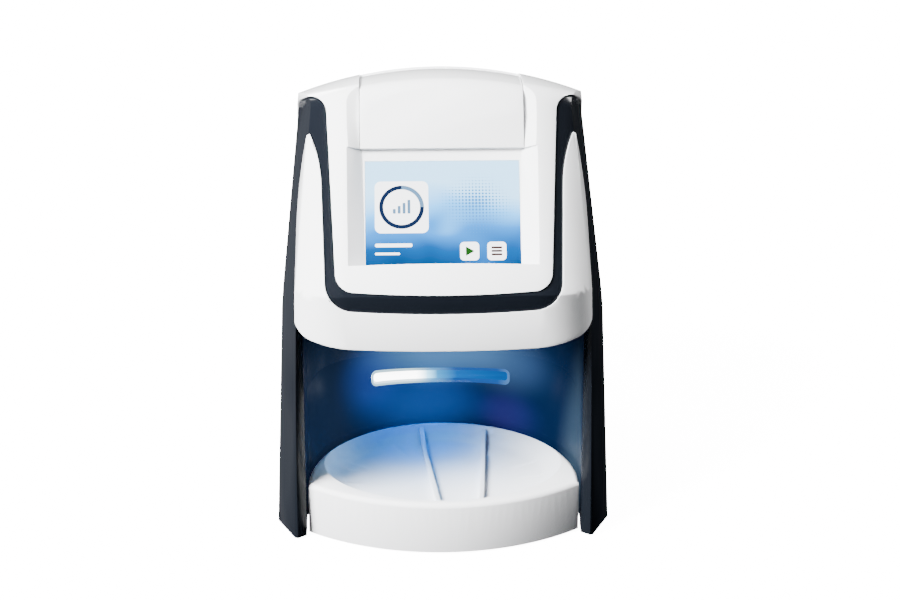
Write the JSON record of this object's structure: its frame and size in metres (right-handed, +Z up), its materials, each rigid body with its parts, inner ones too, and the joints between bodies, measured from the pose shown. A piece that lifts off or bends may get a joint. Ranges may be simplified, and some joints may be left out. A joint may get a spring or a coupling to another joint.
{
  "type": "phosphor plate scanner",
  "caption": "Desktop phosphor plate scanner with a sloping touch screen, a lit slot in a round recess and a white receiving tray that slides out.",
  "frame": {"origin": "on the table, in the middle of the footprint", "axes": "+Z up, +X to the right of a user in front, the screen and tray face -Y"},
  "size_m": [0.1558, 0.2098, 0.207],
  "materials": {
    "white_gloss": "glossy moulded shell",
    "tray_white": "satin gloss moulding",
    "dark_gloss": "high gloss",
    "blue_wall": "deep gloss",
    "lit_guide": "clear light guide",
    "black_plastic": "fine grain",
    "rocker_black": "satin",
    "foot_rubber": "matt",
    "screw_steel": "plain",
    "screen_glass": "flat polished",
    "panel_metal": "plain",
    "port_metal": "bright tin plate",
    "board_green": "solder mask",
    "sheet_steel": "zinc plated",
    "roller_rubber": "ground",
    "gear_acetal": "moulded",
    "motor_black": "black coat",
    "bush_brass": "turned",
    "mirror_face": "polished facets",
    "cast_aluminium": "machined",
    "clear_guide": "polished edges",
    "lamp_white": "board with emitters"
  },
  "bodies": {
    "root": {"front_mask": "white_gloss", "dark_frame": "dark_gloss", "head_cover": "white_gloss", "top_lid": "white_gloss", "rear_housing": "white_gloss", "recess_liner": "blue_wall", "slot_frame": "lit_guide", "slot_throat": "black_plastic", "base_plate": "black_plastic", "rubber_feet": "foot_rubber", "base_screws": "screw_steel", "touch_glass": "screen_glass", "lcd_panel": "panel_metal", "display_board": "board_green", "chassis": "sheet_steel", "feed_table": "sheet_steel", "upper_guide": "sheet_steel", "stepper_motor": "motor_black", "roller_bushes": "bush_brass", "spindle_motor": "cast_aluminium", "scan_bridge": "cast_aluminium", "laser_module": "bush_brass", "light_guide": "clear_guide", "photomultiplier": "panel_metal", "eraser_lamp": "lamp_white", "main_board": "board_green", "network_port": "port_metal", "power_inlet": "black_plastic", "switch_body": "black_plastic", "fan_frame": "black_plastic"},
    "tray": {"tray": "tray_white"},
    "shutter": {"shutter_flap": "black_plastic"},
    "front_drive": {"front_drive_roller": "roller_rubber", "front_gear": "gear_acetal"},
    "rear_drive": {"rear_drive_roller": "roller_rubber", "rear_gear": "gear_acetal"},
    "front_pinch": {"front_pinch_roller": "roller_rubber"},
    "rear_pinch": {"rear_pinch_roller": "roller_rubber"},
    "idler": {"idler_gear": "gear_acetal"},
    "pinion": {"motor_pinion": "screw_steel"},
    "mirror": {"mirror": "mirror_face"},
    "fan": {"fan_impeller": "black_plastic"},
    "rocker": {"power_rocker": "rocker_black"}
  },
  "joints": [
    {"name": "tray_slide", "type": "slide", "parent": "root", "child": "tray", "axis": [0, -1, 0], "range_m": [0, 0.11]},
    {"name": "shutter_hinge", "type": "hinge", "parent": "root", "child": "shutter", "pos_m": [0, -0.004, 0.0533], "axis": [1, 0, 0], "range_deg": [0, 60], "stiffness_Nm_per_rad": 0.001},
    {"name": "front_roller_spin", "type": "hinge", "parent": "root", "child": "front_drive", "pos_m": [0, 0.01, 0.0428], "axis": [1, 0, 0], "continuous": true},
    {"name": "rear_roller_spin", "type": "hinge", "parent": "root", "child": "rear_drive", "pos_m": [0, 0.07, 0.0428], "axis": [1, 0, 0], "continuous": true},
    {"name": "front_pinch_spin", "type": "hinge", "parent": "root", "child": "front_pinch", "pos_m": [0, 0.01, 0.0542], "axis": [1, 0, 0], "continuous": true},
    {"name": "rear_pinch_spin", "type": "hinge", "parent": "root", "child": "rear_pinch", "pos_m": [0, 0.07, 0.0542], "axis": [1, 0, 0], "continuous": true},
    {"name": "idler_spin", "type": "hinge", "parent": "root", "child": "idler", "pos_m": [0, 0.04, 0.0428], "axis": [1, 0, 0], "continuous": true},
    {"name": "motor_spin", "type": "hinge", "parent": "root", "child": "pinion", "pos_m": [0, 0.04, 0.0233], "axis": [1, 0, 0], "continuous": true},
    {"name": "mirror_spin", "type": "hinge", "parent": "root", "child": "mirror", "pos_m": [0, 0.04, 0.075], "axis": [0, 1, 0], "continuous": true},
    {"name": "fan_spin", "type": "hinge", "parent": "root", "child": "fan", "pos_m": [-0.027, 0.09, 0.046], "axis": [0, 1, 0], "continuous": true},
    {"name": "power_rocker_tilt", "type": "hinge", "parent": "root", "child": "rocker", "pos_m": [0.042, 0.09474, 0.021], "axis": [1, 0, 0], "range_deg": [-9, 9]}
  ],
  "couplings": [
    {"joint": "rear_roller_spin", "follows": "front_roller_spin", "ratio": 1},
    {"joint": "idler_spin", "follows": "front_roller_spin", "ratio": -1},
    {"joint": "motor_spin", "follows": "front_roller_spin", "ratio": 3.3333},
    {"joint": "front_pinch_spin", "follows": "front_roller_spin", "ratio": -1.2},
    {"joint": "rear_pinch_spin", "follows": "front_roller_spin", "ratio": -1.2}
  ]
}
